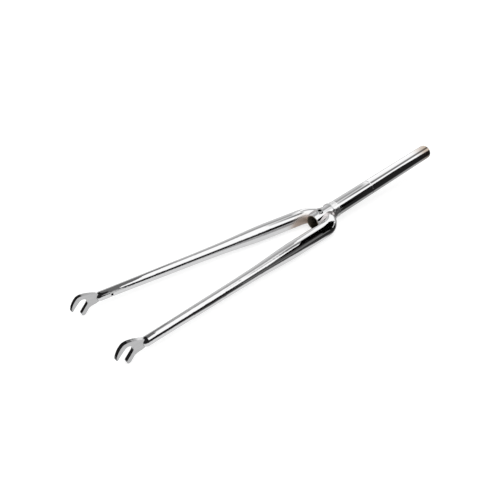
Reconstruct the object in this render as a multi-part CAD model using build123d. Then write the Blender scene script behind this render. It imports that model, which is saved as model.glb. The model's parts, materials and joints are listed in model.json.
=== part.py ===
from build123d import *
import os
from math import asin, atan, atan2, cos, degrees, hypot, radians, sin, sqrt

# Rigid bicycle fork, lying on its rear face.
# Working frame, in millimetres: X across the fork (+X is the rider's left),
# Y from the blade tips to the steerer, Z towards the front of the fork.
# The blade axes lie in Z = 0 and the blade tips have their centres at Y = 0.

# Hub and axle
dropout_gap = 100.0
axle_slot = 10.0
slot_tilt = 38.0
axle_reach = 22.0
axle_rise = 1.8

# Dropout plates
dropout_thick = 5.0
prong_front = 5.8
prong_rear = 5.2
prong_length = 11.3
hook_length = 15.2
hook_tip = 1.6
slot_flare = 9.0
slot_relief = 1.4
neck_height = 12.4
neck_lift = 0.8
neck_inset = 5.0
neck_front_angle = 24.0
neck_rear_angle = 12.0
prong_straight = 0.65
hook_round = 0.6
tab_height = 8.0
tab_length = 8.0
tab_step = 1.0
tab_relief = 0.3
face_clear = 0.3

# Blades
blade_tip_d = 12.4
blade_crown_d = 24.0
blade_wall = 1.2
parallel_length = 65.0
early_length = 0.36
early_growth = 0.17
late_length = 0.73
late_growth = 0.52
shoulder_gap = 1.8
bend_radius = 40.0
bend_angle = 84.0
vent_d = 3.2
vent_from_tip = 13.0

# Steerer and crown. Heights are along the steerer, from where its axis meets the blade plane.
rake = 41.7
axle_to_race = 390.9
race_height = 47.5
foot_margin = 0.7
steerer_d = 25.4
steerer_bore = 22.2
butt_bore = 20.4
butt_length = 94.2
butt_taper = 16.0
score_width = 1.6
score_depth = 0.4
steerer_length = 267.2
race_seat_d = 26.4
race_seat_h = 10.0
race_flange_d = 29.0
race_flange_h = 3.0
race_clear = 1.3
edge_break = 0.5

# Brake bolt bush
brake_hole = 6.2
bush_d = 11.0
bush_front = 2.0
bush_rear = 1.0
brake_height = 21.2

# Weld bead between blade and steerer
weld_leg = 3.2

tip_x = dropout_gap / 2 + dropout_thick / 2
tip_r = blade_tip_d / 2
crown_r = blade_crown_d / 2
steerer_r = steerer_d / 2

# The steerer's axis leans forward and meets the blade plane at axis_cross. Heights t start there.
# Its lean gives the rake, measured square to the axis from the axle.
axle_dy = sqrt((axle_to_race - race_height) ** 2 + rake ** 2 - axle_rise ** 2)
axis_cross = axle_dy - axle_reach
lean = asin(rake / hypot(axle_dy, axle_rise)) - atan2(axle_rise, axle_dy)
top_t = race_height + steerer_length
butt_t = race_height + butt_length
flange_t = race_height - race_flange_h
room = axle_to_race + steerer_length

# The blades splay from the shoulders to the dropouts. At the top they bend in to the steerer, and there
# their upper sides stop just short of the race flange.
shoulder_x = steerer_r + crown_r + shoulder_gap / 2
near_splay = atan((tip_x - shoulder_x) / axis_cross)
bend_rise = sqrt((bend_radius + crown_r) ** 2 - (steerer_r - shoulder_x + bend_radius * cos(near_splay)) ** 2)
straight_length = axis_cross + flange_t - race_clear - bend_rise + bend_radius * sin(near_splay)
splay = atan((tip_x - shoulder_x) / straight_length)
blade_run = hypot(straight_length, tip_x - shoulder_x)
taper_length = blade_run - parallel_length
blade_place = Pos(tip_x, 0, 0) * Rot(0, 0, degrees(splay))

# The steerer's foot stands just below the lowest point where the blades meet its sides.
bend_x = shoulder_x - bend_radius * cos(splay)
bend_y = straight_length - bend_radius * sin(splay)
mitre_y = bend_y + sqrt((bend_radius - crown_r) ** 2 - (steerer_r - bend_x) ** 2)
steerer_foot = (mitre_y - axis_cross) / cos(lean) - foot_margin
axis_plane = Plane(origin=(0, axis_cross, 0), x_dir=(1, 0, 0), z_dir=(0, cos(lean), sin(lean)))


def on_axis(t):
    return axis_plane.offset(t)


def rod(radius, t0, t1):
    return extrude(on_axis(t0) * Circle(radius), t1 - t0)


def blade_body(inset):
    r0 = tip_r - inset
    r1 = crown_r - inset
    grow = r1 - r0
    with BuildPart() as body:
        with BuildSketch(Plane.XY):
            with BuildLine():
                RadiusArc((0, -r0), (r0, 0), -r0)
                Spline(
                    (r0, 0),
                    (r0 + early_growth * grow, early_length * taper_length),
                    (r0 + late_growth * grow, late_length * taper_length),
                    (r1, taper_length),
                    tangents=((0, 1), (0, 1)),
                )
                Line((r1, taper_length), (r1, blade_run))
                Line((r1, blade_run), (0, blade_run))
                Line((0, blade_run), (0, -r0))
            make_face()
        revolve(axis=Axis.Y)
        with BuildSketch(Plane.XZ.offset(-blade_run)):
            Circle(r1)
        revolve(axis=Axis((-bend_radius, blade_run, 0), (0, 0, 1)), revolution_arc=bend_angle)
    return blade_place * body.part


left_half = Box(room, 2 * room, room, align=(Align.MIN, Align.CENTER, Align.CENTER))

# Brake bolt bush, square to the steerer axis, through both of its walls.
bush_plane = Plane(
    origin=on_axis(brake_height).origin,
    x_dir=(1, 0, 0),
    z_dir=(0, -sin(lean), cos(lean)),
)
bush_low = -steerer_r - bush_rear
bush_high = steerer_r + bush_front
bush_solid = extrude(bush_plane.offset(bush_low) * Circle(bush_d / 2), bush_high - bush_low)
bush_hole = extrude(bush_plane.offset(bush_low) * Circle(brake_hole / 2), bush_high - bush_low)
brake_bush = bush_solid - bush_hole

# Steerer, thicker inside at its lower end. A fine groove outside marks where that end stops.
steerer = rod(steerer_r, steerer_foot, top_t)
steerer = chamfer(steerer.edges(), edge_break)
low_bore = rod(butt_bore / 2, steerer_foot, butt_t)
high_bore = rod(steerer_bore / 2, butt_t + butt_taper, top_t)
cone_low = on_axis(butt_t) * Circle(butt_bore / 2)
cone_high = on_axis(butt_t + butt_taper) * Circle(steerer_bore / 2)
score_plane = Plane(origin=on_axis(butt_t).origin, x_dir=(1, 0, 0), z_dir=bush_plane.z_dir)
score_edge = score_width / 2
score_cut = make_face(
    Polyline(
        (steerer_r - score_depth, 0),
        (steerer_r + score_depth, -2 * score_edge),
        (steerer_r + score_depth, 2 * score_edge),
        close=True,
    )
)
score = revolve(score_plane * score_cut, Axis(score_plane.origin, axis_plane.z_dir))
steerer_tube = steerer - low_bore - high_bore - loft([cone_low, cone_high]) - score - bush_solid

# Crown race seat, a turned ring on the steerer.
seat = rod(race_seat_d / 2, race_height, race_height + race_seat_h)
flange = rod(race_flange_d / 2, flange_t, race_height)
race_bore = rod(steerer_r, flange_t, race_height + race_seat_h)

# Dropout plate, drawn in Y and Z: u runs along the slot to its mouth, v across it to the front.
# The front side of the slot is cut back, so that the axle drops in past the hook.
ca = cos(radians(slot_tilt))
sa = sin(radians(slot_tilt))
cf = cos(radians(slot_flare))
sf = sin(radians(slot_flare))
half_slot = axle_slot / 2
prong_r = prong_rear / 2


def slot_point(u, v):
    return (-axle_reach - u * ca - v * sa, axle_rise - u * sa + v * ca)


def rear_point(run, across):
    return slot_point(run * cf + across * sf, -half_slot - run * sf + across * cf)


along = (-ca, -sa)
back = (cos(radians(slot_tilt + slot_flare)), sin(radians(slot_tilt + slot_flare)))
neck_top = neck_height / 2 + neck_lift
neck_low = -neck_height / 2 + neck_lift
front_slope = radians(neck_front_angle)
rear_slope = radians(neck_rear_angle)
tab = tab_height / 2
slot_front = slot_point(slot_relief / 2, half_slot + slot_relief)
slot_back = slot_point(-half_slot, slot_relief / 2)
slot_rear = slot_point(0, -half_slot)
hook_start = slot_point(0, half_slot + slot_relief + prong_front)
hook_outer = slot_point(hook_length, half_slot + hook_tip)
hook_inner = slot_point(hook_length, half_slot)
prong_foot = rear_point((1 - prong_straight) * prong_length, -prong_rear)
prong_end = rear_point(prong_length, -prong_r)

with BuildPart() as plate:
    with BuildSketch(Plane.YZ.offset(dropout_gap / 2)):
        with BuildLine():
            Line((tab_length, -tab), (tab_length, tab))
            Line((tab_length, tab), (-tab_step, tab))
            Line((-tab_step, tab), (-neck_inset, neck_top))
            Spline(
                (-neck_inset, neck_top),
                hook_start,
                tangents=((-cos(front_slope), sin(front_slope)), along),
            )
            TangentArc(hook_start, hook_outer, tangent=along)
            Line(hook_outer, hook_inner)
            TangentArc(slot_front, hook_inner, tangent=along)
            ThreePointArc(slot_front, slot_back, slot_rear)
            Line(slot_rear, rear_point(prong_length, 0))
            ThreePointArc(
                rear_point(prong_length, 0),
                rear_point(prong_length + prong_r, -prong_r),
                rear_point(prong_length, -prong_rear),
            )
            Line(rear_point(prong_length, -prong_rear), prong_foot)
            Spline(
                prong_foot,
                (-neck_inset, neck_low),
                tangents=(back, (cos(rear_slope), sin(rear_slope))),
            )
            Line((-neck_inset, neck_low), (-tab_step, -tab))
            Line((-tab_step, -tab), (tab_length, -tab))
        make_face()
    extrude(amount=dropout_thick)
    hook_edges = plate.edges().filter_by(Axis.X)
    tip_edges = [hook_edges.sort_by_distance((tip_x, *end))[0] for end in (hook_outer, hook_inner)]
    fillet(tip_edges, hook_round)

# The clamping faces stand proud of the tab and stop clear of the blade's rounded end.
face_end = -tip_r - face_clear
relief = Box(2 * tab_relief, room, room, align=(Align.CENTER, Align.MIN, Align.CENTER))
inner_relief = Pos(dropout_gap / 2, face_end, 0) * relief
outer_relief = Pos(dropout_gap / 2 + dropout_thick, face_end, 0) * relief
left_dropout = plate.part - inner_relief - outer_relief

# Blade: a tapered tube, closed and slotted at its tip, mitred onto the steerer.
cutter = rod(steerer_r, steerer_foot - blade_crown_d, race_height + blade_crown_d)
outer = blade_body(0) & left_half
inner = blade_body(blade_wall) & left_half
vent_at = blade_place * Pos(-tip_r, vent_from_tip, 0) * Rot(0, 90, 0)
vent = vent_at * Cylinder(vent_d / 2, 2 * tip_r)
left_blade = outer - inner - cutter - bush_solid - left_dropout - vent

# The race ring clears the tops of the blades.
race_ring = seat + flange - race_bore - outer - mirror(outer, Plane.YZ)

# Weld bead, a flat-faced fillet all round the corner between blade and steerer.
joined = outer + cutter


def on_steerer_wall(edge):
    points = [axis_plane.to_local_coords(edge @ share) for share in (0.1, 0.5, 0.9)]
    return all(abs(hypot(point.X, point.Y) / steerer_r - 1) < 0.005 for point in points)


corner = [edge for edge in joined.edges().filter_by(GeomType.BSPLINE) if on_steerer_wall(edge)]
weld_room = rod(steerer_d, steerer_foot, flange_t) & left_half
left_weld = (chamfer(corner, weld_leg) - joined) & weld_room
left_weld = left_weld - bush_solid

nodes = {
    "steerer_tube": steerer_tube,
    "crown_race_seat": race_ring,
    "brake_bolt_bush": brake_bush,
    "left_blade": left_blade,
    "right_blade": mirror(left_blade, Plane.YZ),
    "left_dropout": left_dropout,
    "right_dropout": mirror(left_dropout, Plane.YZ),
    "left_crown_weld": left_weld,
    "right_crown_weld": mirror(left_weld, Plane.YZ),
}

# The fork lies on the ends of its rear prongs and on the backs of the blades where they meet.
# That plane becomes Z = 0.
meet_y = bend_y + sqrt(bend_radius ** 2 - bend_x ** 2)
span = hypot(meet_y - prong_end[0], prong_end[1])
pitch = atan2(-prong_end[1], meet_y - prong_end[0]) + asin((prong_r - crown_r) / span)
level = Rot(-degrees(pitch), 0, 0)
end_low = (level * left_dropout).bounding_box().min.Y
end_high = (level * steerer_tube).bounding_box().max.Y
rest = Pos(0, -(end_low + end_high) / 2, meet_y * sin(pitch) + crown_r) * level

os.makedirs("parts", exist_ok=True)
for name, shape in nodes.items():
    export_step(rest * shape, "parts/" + name + ".step")
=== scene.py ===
import json
from math import cos, radians, sin
import bmesh
import bpy
from mathutils import Matrix, Vector

# Rigid bicycle fork in polished chrome, on a white studio floor.
# Row frame, in metres: +X is the rider's left, +Y runs from the dropouts to the steerer's top, +Z is up.

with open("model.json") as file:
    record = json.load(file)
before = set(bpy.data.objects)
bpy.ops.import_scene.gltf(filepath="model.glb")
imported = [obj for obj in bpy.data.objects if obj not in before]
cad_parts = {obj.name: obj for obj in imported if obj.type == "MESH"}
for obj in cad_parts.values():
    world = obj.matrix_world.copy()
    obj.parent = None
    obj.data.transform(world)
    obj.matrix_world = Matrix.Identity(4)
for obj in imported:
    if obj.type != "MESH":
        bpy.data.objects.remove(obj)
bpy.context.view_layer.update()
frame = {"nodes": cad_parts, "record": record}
scene = bpy.context.scene

# Camera, for a square image
LENS = 34.56
SENSOR = 36.0
AZIMUTH = 47.69
ELEVATION = 33.05
ROLL = 0.1
DISTANCE = 0.6613
TARGET = Vector((0.0, -0.1013, 0.0199))

# Steerer, from its mount: a point on its axis, its direction and its radius
MOUNTS = {mount["name"]: mount for mount in frame["record"]["mounts"]}
STEERER_POINT = Vector(MOUNTS["steerer"]["pos_m"])
STEERER_AXIS = Vector(MOUNTS["steerer"]["axis"])
STEERER_RADIUS = MOUNTS["steerer"]["dims"]["r_mm"] / 1000
STEERER_HALF = MOUNTS["steerer"]["dims"]["length_mm"] / 2000

# Chrome
CHROME = (0.66, 0.66, 0.665)
PLATE = (0.56, 0.56, 0.565)
GROUND = (0.85, 0.85, 0.85)
WELD = (0.56, 0.53, 0.53)
# Each finish: colour, roughness, strength and scale of its waves, and how far the polishing streaks dull it
FINISHES = {
    "chrome_tube": (CHROME, 0.05, 0.02, 90.0, 0.04),
    "chrome_plate": (PLATE, 0.06, 0.03, 300.0, 0.5),
    "chrome_turned": (CHROME, 0.08, 0.03, 400.0, 0.1),
    "ground_seat": (GROUND, 0.3, 0.03, 400.0, 0.1),
    "chrome_weld": (WELD, 0.12, 0.3, 220.0, 0.1),
}
NODE_SLOTS = {
    "steerer_tube": "chrome_tube",
    "crown_race_seat": "ground_seat",
    "brake_bolt_bush": "chrome_turned",
    "left_blade": "chrome_tube",
    "right_blade": "chrome_tube",
    "left_dropout": "chrome_plate",
    "right_dropout": "chrome_plate",
    "left_crown_weld": "chrome_weld",
    "right_crown_weld": "chrome_weld",
}
WAVE_HEIGHT = 0.001
POLISH_SCALE = 60.0
# Polishing streaks run along the fork.
STREAK = Vector((1.0, 0.12, 1.0))
STREAK_SCALE = 700.0
STREAK_SHADE = 0.5
# The plating fades out at the steerer's top, and its bore is bare.
BARE_END = (0.38, 0.315, 0.26)
BARE_SPREAD = 0.05
END_FADE = (0.045, 0.006)
BARE_BORE = (0.16, 0.14, 0.11)
BORE_SPREAD = 0.4
BORE_DEPTH = (0.0008, 0.0014)
# Warmer, rougher and less metallic in the corner between the right blade and the steerer
CORNER_WARMTH = (0.55, 0.44, 0.37)
RECESS = Vector((-0.017, 0.022, 0.0105))
RECESS_FORM = Vector((1.0, 0.5, 1.2))
RECESS_REACH = (0.006, 0.0165)
RECESS_SPREAD = 0.4
RECESS_METAL = 0.4

# Studio light. Angles are in degrees round the fork's length: 0 at its left, 90 overhead, 180 at its right.
BOX_LEFT = (36.0, 44.0)
BOX_RIGHT = (98.0, 116.0)
BOX_LIGHT = 1.5
SIDE_LIGHT = (0.42, 1.0)
# Past the crown the overhead light has a gap, and a white wall stands behind the upper steerer.
GAP_ANGLES = (68.0, 78.0, 92.0, 106.0)
GAP_AHEAD = (0.62, 0.70)
GAP_LIGHT = 0.26
WALL_AHEAD = (0.708, 0.718)
WALL_ANGLES = (96.0, 114.0)
WALL_LIGHT = 1.45
# Dark flags and grey cards beside the fork and over it, seen only as reflections in the chrome
BLACK = 0.02
DARK = 0.1
GREY = 0.2
SIDE_FLAG_X = 0.6
CROWN_CARD_X = 0.25
TIP_RIGHT = -0.16
TIP_LEFT = 0.17
TIP_FRONT = -0.37
TIP_BACK = -0.255
TIP_ROOF_BACK = -0.2715
TIP_HEIGHT = 0.10
CROWN_HEIGHT = 0.04
# Floor, just below the fork
FLOOR_HALF = 8.0
FLOOR_Z = -0.0002
# On the left its reflection darkens from this distance on. From the crown up that edge lies nearer and the
# dark is deeper. Towards the steerer's top and past the tips the edge lies further out.
FLOOR_DARK = (0.070, 0.086)
FLOOR_DARK_LIGHT = (0.06, 0.012)
FLOOR_CROWN = (-0.06, 0.08)
FLOOR_CROWN_SHIFT = 0.05
FLOOR_TOP = (0.15, 0.5)
FLOOR_TOP_SHIFT = 0.02
FLOOR_TIP = (-0.19, -0.26)
FLOOR_TIP_SHIFT = 0.08
# In front of the tips it is dark too.
FLOOR_FRONT = (-0.325, -0.345)
# Under the fork a painted shadow darkens it, deeper under the steerer.
FLOOR_UNDER = (0.0, 0.12)
FLOOR_PAINTED_SHADOW = (0.14, 0.6)
# The floor's own colour, and the glow that makes it white
FLOOR_SHADE = 0.45
FLOOR_GLOW = 0.68


def link(tree, value, socket):
    """Sets a socket to a number or vector, or links it to another socket."""
    if isinstance(value, bpy.types.NodeSocket):
        tree.links.new(value, socket)
    else:
        socket.default_value = value


def math(tree, operation, *values):
    node = tree.nodes.new("ShaderNodeMath")
    node.operation = operation
    for socket, value in zip(node.inputs, values):
        link(tree, value, socket)
    return node.outputs[0]


def ramp(tree, value, start, end, low=0.0, high=1.0, form="LINEAR"):
    """Goes from low at start to high at end, in a straight line unless told otherwise."""
    node = tree.nodes.new("ShaderNodeMapRange")
    node.interpolation_type = form
    names = ("Value", "From Min", "From Max", "To Min", "To Max")
    for name, item in zip(names, (value, start, end, low, high)):
        link(tree, item, node.inputs[name])
    return node.outputs["Result"]


def smooth(tree, value, start, end, low=0.0, high=1.0):
    """Goes smoothly from low at start to high at end."""
    return ramp(tree, value, start, end, low, high, "SMOOTHSTEP")


def between(tree, value, edges):
    """Is 1 between the two middle edges and falls smoothly to 0 at the outer two."""
    rise = smooth(tree, value, edges[0], edges[1])
    return math(tree, "MULTIPLY", rise, smooth(tree, value, edges[3], edges[2]))


def blend(tree, factor, first, second):
    """Goes from the first number to the second as the factor goes from 0 to 1."""
    node = tree.nodes.new("ShaderNodeMix")
    link(tree, factor, node.inputs["Factor"])
    link(tree, first, node.inputs[2])
    link(tree, second, node.inputs[3])
    return node.outputs[0]


def vector_math(tree, operation, *vectors):
    node = tree.nodes.new("ShaderNodeVectorMath")
    node.operation = operation
    for socket, vector in zip(node.inputs, vectors):
        link(tree, vector, socket)
    return node


def dot(tree, vector, other):
    return vector_math(tree, "DOT_PRODUCT", vector, other).outputs["Value"]


def mix_colour(tree, factor, first, second):
    node = tree.nodes.new("ShaderNodeMix")
    node.data_type = "RGBA"
    link(tree, factor, node.inputs["Factor"])
    for socket, value in ((node.inputs[6], first), (node.inputs[7], second)):
        link(tree, value if isinstance(value, bpy.types.NodeSocket) else (*value, 1.0), socket)
    return node.outputs[2]


def noise(tree, vector, scale, detail=2.0, roughness=0.5):
    node = tree.nodes.new("ShaderNodeTexNoise")
    node.inputs["Scale"].default_value = scale
    node.inputs["Detail"].default_value = detail
    node.inputs["Roughness"].default_value = roughness
    link(tree, vector, node.inputs["Vector"])
    return node.outputs["Fac"]


def place(tree):
    """The point's place on the fork, in metres."""
    return tree.nodes.new("ShaderNodeTexCoord").outputs["Object"]


def chrome(name, colour, roughness, wave, wave_scale, grain):
    """Chrome with a slightly uneven polish, warmer in the crown. The steerer's top and bore are bare."""
    material = bpy.data.materials.new(name)
    material.use_nodes = True
    tree = material.node_tree
    shader = tree.nodes["Principled BSDF"]
    where = place(tree)
    offset = vector_math(tree, "SUBTRACT", where, STEERER_POINT).outputs["Vector"]
    along = dot(tree, offset, STEERER_AXIS)
    from_axis = vector_math(tree, "CROSS_PRODUCT", offset, STEERER_AXIS).outputs["Vector"]
    radius = vector_math(tree, "LENGTH", from_axis).outputs["Value"]
    bore = smooth(tree, math(tree, "SUBTRACT", STEERER_RADIUS, radius), *BORE_DEPTH)
    bare = smooth(tree, math(tree, "SUBTRACT", STEERER_HALF, along), *END_FADE)
    corner = vector_math(tree, "SUBTRACT", where, RECESS).outputs["Vector"]
    corner = vector_math(tree, "MULTIPLY", corner, RECESS_FORM).outputs["Vector"]
    from_corner = vector_math(tree, "LENGTH", corner).outputs["Value"]
    recess = smooth(tree, from_corner, RECESS_REACH[1], RECESS_REACH[0])
    polish = noise(tree, where, POLISH_SCALE, 3.0)
    stretched = vector_math(tree, "MULTIPLY", where, STREAK).outputs["Vector"]
    streaks = noise(tree, stretched, STREAK_SCALE, 3.0, 0.6)
    dull = [part * STREAK_SHADE for part in colour]
    tone = mix_colour(tree, math(tree, "MULTIPLY", streaks, grain), colour, dull)
    # Warmer tone in the corner between the right blade and the steerer
    tone = mix_colour(tree, recess, tone, CORNER_WARMTH)
    tone = mix_colour(tree, bare, tone, BARE_END)
    tone = mix_colour(tree, bore, tone, BARE_BORE)
    link(tree, tone, shader.inputs["Base Color"])
    spread = math(tree, "MULTIPLY_ADD", polish, roughness, roughness * 0.5)
    spread = math(tree, "MULTIPLY_ADD", bare, BARE_SPREAD, spread)
    spread = math(tree, "MULTIPLY_ADD", bore, BORE_SPREAD, spread)
    spread = math(tree, "MULTIPLY_ADD", recess, RECESS_SPREAD, spread)
    link(tree, spread, shader.inputs["Roughness"])
    link(tree, blend(tree, recess, 1.0, RECESS_METAL), shader.inputs["Metallic"])
    bump = tree.nodes.new("ShaderNodeBump")
    bump.inputs["Strength"].default_value = wave
    bump.inputs["Distance"].default_value = WAVE_HEIGHT
    link(tree, noise(tree, where, wave_scale), bump.inputs["Height"])
    link(tree, bump.outputs["Normal"], shader.inputs["Normal"])
    return material


def plate_nodes():
    materials = {name: chrome(name, *values) for name, values in FINISHES.items()}
    for name, node in frame["nodes"].items():
        node.data.materials.clear()
        node.data.materials.append(materials[NODE_SLOTS[name]])


def studio_world():
    world = bpy.data.worlds.new("studio")
    scene.world = world
    world.use_nodes = True
    tree = world.node_tree
    background = tree.nodes["Background"]
    background.inputs["Color"].default_value = (1.0, 1.0, 1.0, 1.0)
    direction = tree.nodes.new("ShaderNodeTexCoord").outputs["Generated"]
    split = tree.nodes.new("ShaderNodeSeparateXYZ")
    link(tree, direction, split.inputs[0])
    turn = math(tree, "DEGREES", math(tree, "ARCTAN2", split.outputs["Z"], split.outputs["X"]))
    ahead = dot(tree, direction, STEERER_AXIS)
    left = ramp(tree, turn, BOX_LEFT[0], 0.0, *SIDE_LIGHT)
    right = ramp(tree, turn, BOX_RIGHT[1], 180.0, *SIDE_LIGHT)
    wall = math(tree, "MULTIPLY", smooth(tree, ahead, *WALL_AHEAD), smooth(tree, turn, *WALL_ANGLES))
    right = blend(tree, wall, right, WALL_LIGHT)
    light = blend(tree, smooth(tree, turn, *BOX_LEFT), left, BOX_LIGHT)
    light = blend(tree, smooth(tree, turn, *BOX_RIGHT), light, right)
    gap = math(tree, "MULTIPLY", between(tree, turn, GAP_ANGLES), smooth(tree, ahead, *GAP_AHEAD))
    light = blend(tree, gap, light, GAP_LIGHT)
    seen = tree.nodes.new("ShaderNodeLightPath").outputs["Is Camera Ray"]
    link(tree, blend(tree, seen, light, 1.0), background.inputs["Strength"])


def flag(name, corners, light):
    """A flat card that only the chrome sees, as its own even light."""
    mesh = bpy.data.meshes.new(name)
    mesh.from_pydata(corners, [], [range(len(corners))])
    card = bpy.data.objects.new(name, mesh)
    scene.collection.objects.link(card)
    material = bpy.data.materials.new(name)
    material.use_nodes = True
    tree = material.node_tree
    tree.nodes.clear()
    output = tree.nodes.new("ShaderNodeOutputMaterial")
    glow = tree.nodes.new("ShaderNodeEmission")
    glow.inputs["Strength"].default_value = light
    link(tree, glow.outputs[0], output.inputs["Surface"])
    mesh.materials.append(material)
    card.visible_camera = False
    card.visible_diffuse = False
    card.visible_shadow = False


def upright(x, ends, tops):
    """Corners of an upright card that faces across the fork and stands on the floor."""
    low = [(x, y, 0.0) for y in ends]
    return low + [(x, y, z) for y, z in tops]


def level(z, corners):
    """Corners of a card that lies level at a height."""
    return [(x, y, z) for x, y in corners]


def studio_flags():
    flag("side_flag", upright(SIDE_FLAG_X, (-0.15, 1.2), ((1.2, 0.84), (0.2, 0.44), (-0.15, 0.44))), BLACK)
    flag("crown_card", upright(CROWN_CARD_X, (0.0, 0.3), ((0.3, 0.12), (0.0, 0.12))), GREY)
    # Round the tips: a wall in front, one on the left, and a roof that ends in a grey card
    front = ((TIP_RIGHT, 0.0), (TIP_LEFT, 0.0), (TIP_LEFT, TIP_HEIGHT), (TIP_RIGHT, TIP_HEIGHT))
    flag("front_flag", [(x, TIP_FRONT, z) for x, z in front], BLACK)
    left_tops = ((TIP_BACK, TIP_HEIGHT), (TIP_FRONT, TIP_HEIGHT))
    flag("left_flag", upright(TIP_LEFT, (TIP_FRONT, TIP_BACK), left_tops), BLACK)
    roof = ((TIP_RIGHT, TIP_FRONT), (TIP_LEFT, TIP_FRONT), (TIP_LEFT, TIP_ROOF_BACK))
    edge = ((TIP_RIGHT, -0.279), (-0.05, -0.279), (-0.02, TIP_ROOF_BACK))
    flag("tip_flag", level(TIP_HEIGHT, roof + edge[::-1]), BLACK)
    fade = ((0.075, TIP_ROOF_BACK), (0.055, -0.252), (0.0, -0.255), (-0.026, -0.229))
    fade_end = ((-0.068, -0.215), (-0.10, -0.166), (TIP_RIGHT, -0.12))
    flag("tip_card", level(TIP_HEIGHT, edge + fade + fade_end), GREY)
    # Over the left shoulder and the blade below it
    low_end = ((0.056, -0.07), (0.07, -0.055))
    near = ((0.0275, 0.035), (0.031, 0.005), (0.035, -0.02), (0.0475, -0.025), (0.05, -0.045))
    far = ((0.06, -0.01), (0.058, 0.03), (0.062, 0.045), (0.10, 0.092), (0.14, 0.13))
    end = ((0.16, 0.20), (0.05, 0.18), (0.03, 0.12), (0.0225, 0.0725), (0.0175, 0.055))
    flag("crown_flag", level(CROWN_HEIGHT, near + low_end + far + end), 0.0)
    past = ((0.08, -0.115), (0.15, -0.115), (0.15, 0.03), (0.075, 0.03))
    flag("blade_flag", level(CROWN_HEIGHT, low_end[:1] + past + low_end[1:]), DARK)


def floor_material():
    """White, with the fork's shadow. The chrome sees it darker on the left and in front, and with a painted
    shadow underneath.
    """
    material = bpy.data.materials.new("floor")
    material.use_nodes = True
    tree = material.node_tree
    tree.nodes.clear()
    output = tree.nodes.new("ShaderNodeOutputMaterial")
    diffuse = tree.nodes.new("ShaderNodeBsdfDiffuse")
    glow = tree.nodes.new("ShaderNodeEmission")
    path = tree.nodes.new("ShaderNodeLightPath")
    split = tree.nodes.new("ShaderNodeSeparateXYZ")
    link(tree, place(tree), split.inputs[0])
    along = split.outputs["Y"]
    sideways = split.outputs["X"]
    sideways = math(tree, "ADD", sideways, smooth(tree, along, *FLOOR_CROWN, 0.0, FLOOR_CROWN_SHIFT))
    sideways = math(tree, "SUBTRACT", sideways, smooth(tree, along, *FLOOR_TOP, 0.0, FLOOR_TOP_SHIFT))
    sideways = math(tree, "SUBTRACT", sideways, smooth(tree, along, *FLOOR_TIP, 0.0, FLOOR_TIP_SHIFT))
    dark = smooth(tree, sideways, *FLOOR_DARK)
    dark = math(tree, "MAXIMUM", dark, smooth(tree, along, *FLOOR_FRONT))
    # Painted shadow under the fork, which only the chrome sees
    dark = math(tree, "MAXIMUM", dark, smooth(tree, along, *FLOOR_UNDER, *FLOOR_PAINTED_SHADOW))
    dark = math(tree, "MULTIPLY", dark, path.outputs["Is Glossy Ray"])
    dark_light = smooth(tree, along, *FLOOR_CROWN, *FLOOR_DARK_LIGHT)
    link(tree, blend(tree, dark, FLOOR_SHADE, dark_light), diffuse.inputs["Color"])
    seen = math(tree, "MAXIMUM", path.outputs["Is Camera Ray"], path.outputs["Is Glossy Ray"])
    bright = blend(tree, dark, FLOOR_GLOW, dark_light)
    link(tree, math(tree, "MULTIPLY", seen, bright), glow.inputs["Strength"])
    both = tree.nodes.new("ShaderNodeAddShader")
    link(tree, diffuse.outputs[0], both.inputs[0])
    link(tree, glow.outputs[0], both.inputs[1])
    link(tree, both.outputs[0], output.inputs["Surface"])
    return material


def studio_floor():
    mesh = bpy.data.meshes.new("floor")
    form = bmesh.new()
    bmesh.ops.create_grid(form, x_segments=1, y_segments=1, size=FLOOR_HALF)
    form.to_mesh(mesh)
    form.free()
    floor = bpy.data.objects.new("floor", mesh)
    scene.collection.objects.link(floor)
    floor.location.z = FLOOR_Z
    mesh.materials.append(floor_material())


def studio_camera():
    data = bpy.data.cameras.new("camera")
    data.lens = LENS
    data.sensor_width = SENSOR
    data.sensor_fit = "HORIZONTAL"
    data.clip_start = 0.01
    camera = bpy.data.objects.new("camera", data)
    scene.collection.objects.link(camera)
    az = radians(AZIMUTH)
    el = radians(ELEVATION)
    back = Vector((sin(az) * cos(el), -cos(az) * cos(el), sin(el)))
    right = Vector((cos(az), sin(az), 0.0))
    up = back.cross(right)
    roll = radians(ROLL)
    side = right * cos(roll) + up * sin(roll)
    rise = up * cos(roll) - right * sin(roll)
    turn = Matrix((side, rise, back)).transposed().to_4x4()
    camera.matrix_world = Matrix.Translation(TARGET + back * DISTANCE) @ turn
    scene.camera = camera


plate_nodes()
studio_world()
studio_floor()
studio_flags()
studio_camera()
scene.view_settings.view_transform = "Standard"
